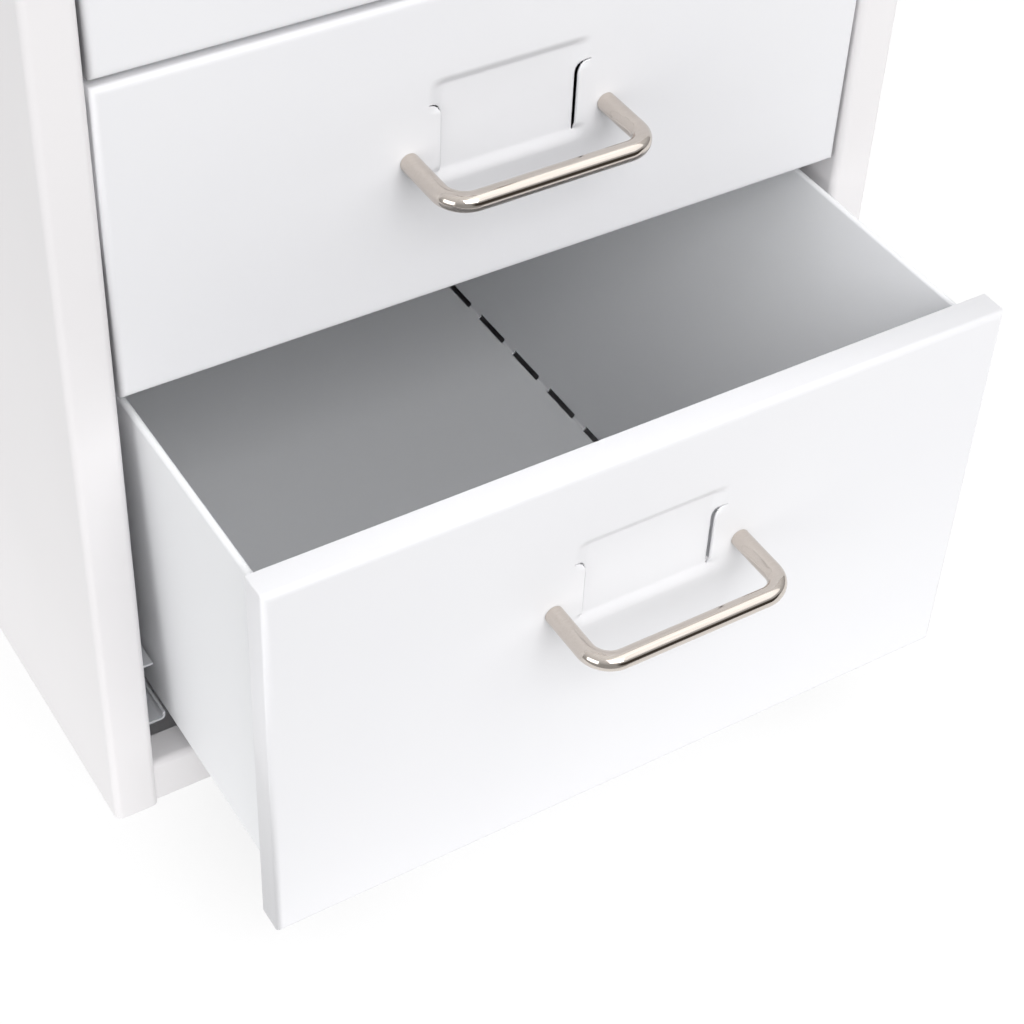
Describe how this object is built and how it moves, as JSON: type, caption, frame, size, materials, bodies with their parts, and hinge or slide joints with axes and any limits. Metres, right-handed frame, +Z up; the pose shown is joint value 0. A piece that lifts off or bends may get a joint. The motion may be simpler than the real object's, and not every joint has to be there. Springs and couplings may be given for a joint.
{
  "type": "drawer cabinet",
  "caption": "Narrow floor-standing steel cabinet with shallow folded drawers over a deep one, each sliding on nylon glides in channel runners, with wire handles and label pockets.",
  "frame": {"origin": "middle of the cabinet's footprint over its side panels, on the plane that it stands on", "axes": "+X to the cabinet's right seen from the front, +Y to its back, +Z up; the drawers open towards -Y"},
  "size_m": [0.28, 0.5247, 0.6119],
  "materials": {
    "cabinet_coat": "white powder coat on folded sheet steel, fine orange peel",
    "front_coat": "white powder coat on pressed sheet steel, fine orange peel",
    "tray_coat": "thin light grey coat on folded sheet steel",
    "runner_coat": "light coat on folded sheet steel, rubbed where the glides run",
    "handle_wire": "satin nickel-plated wire",
    "zinc_fasteners": "bright zinc-plated steel",
    "nylon": "natural moulded nylon"
  },
  "bodies": {
    "cabinet": {"left_side_panel": "cabinet_coat", "right_side_panel": "cabinet_coat", "back_panel": "cabinet_coat", "top_panel": "cabinet_coat", "base_pan": "cabinet_coat", "base_rail": "cabinet_coat", "top_rail": "cabinet_coat", "castor_nuts": "zinc_fasteners", "back_screws": "zinc_fasteners", "left_runner_1": "runner_coat", "right_runner_1": "runner_coat", "left_runner_2": "runner_coat", "right_runner_2": "runner_coat", "left_runner_3": "runner_coat", "right_runner_3": "runner_coat", "left_runner_4": "runner_coat", "right_runner_4": "runner_coat", "left_runner_5": "runner_coat", "right_runner_5": "runner_coat"},
    "drawer_1": {"drawer_1_front": "front_coat", "drawer_1_tray": "tray_coat", "drawer_1_handle": "handle_wire", "drawer_1_handle_screws": "zinc_fasteners", "drawer_1_glides": "nylon", "drawer_1_rivets": "zinc_fasteners"},
    "drawer_2": {"drawer_2_front": "front_coat", "drawer_2_tray": "tray_coat", "drawer_2_handle": "handle_wire", "drawer_2_handle_screws": "zinc_fasteners", "drawer_2_glides": "nylon", "drawer_2_rivets": "zinc_fasteners"},
    "drawer_3": {"drawer_3_front": "front_coat", "drawer_3_tray": "tray_coat", "drawer_3_handle": "handle_wire", "drawer_3_handle_screws": "zinc_fasteners", "drawer_3_glides": "nylon", "drawer_3_rivets": "zinc_fasteners"},
    "drawer_4": {"drawer_4_front": "front_coat", "drawer_4_tray": "tray_coat", "drawer_4_handle": "handle_wire", "drawer_4_handle_screws": "zinc_fasteners", "drawer_4_glides": "nylon", "drawer_4_rivets": "zinc_fasteners"},
    "drawer_5": {"drawer_5_front": "front_coat", "drawer_5_tray": "tray_coat", "drawer_5_handle": "handle_wire", "drawer_5_handle_screws": "zinc_fasteners", "drawer_5_glides": "nylon", "drawer_5_rivets": "zinc_fasteners"}
  },
  "joints": [
    {"name": "drawer_1_slide", "type": "slide", "parent": "cabinet", "child": "drawer_1", "axis": [0, -1, 0], "range_m": [-0.086, 0.196]},
    {"name": "drawer_2_slide", "type": "slide", "parent": "cabinet", "child": "drawer_2", "axis": [0, -1, 0], "range_m": [0, 0.282]},
    {"name": "drawer_3_slide", "type": "slide", "parent": "cabinet", "child": "drawer_3", "axis": [0, -1, 0], "range_m": [0, 0.282]},
    {"name": "drawer_4_slide", "type": "slide", "parent": "cabinet", "child": "drawer_4", "axis": [0, -1, 0], "range_m": [0, 0.282]},
    {"name": "drawer_5_slide", "type": "slide", "parent": "cabinet", "child": "drawer_5", "axis": [0, -1, 0], "range_m": [0, 0.282]}
  ]
}
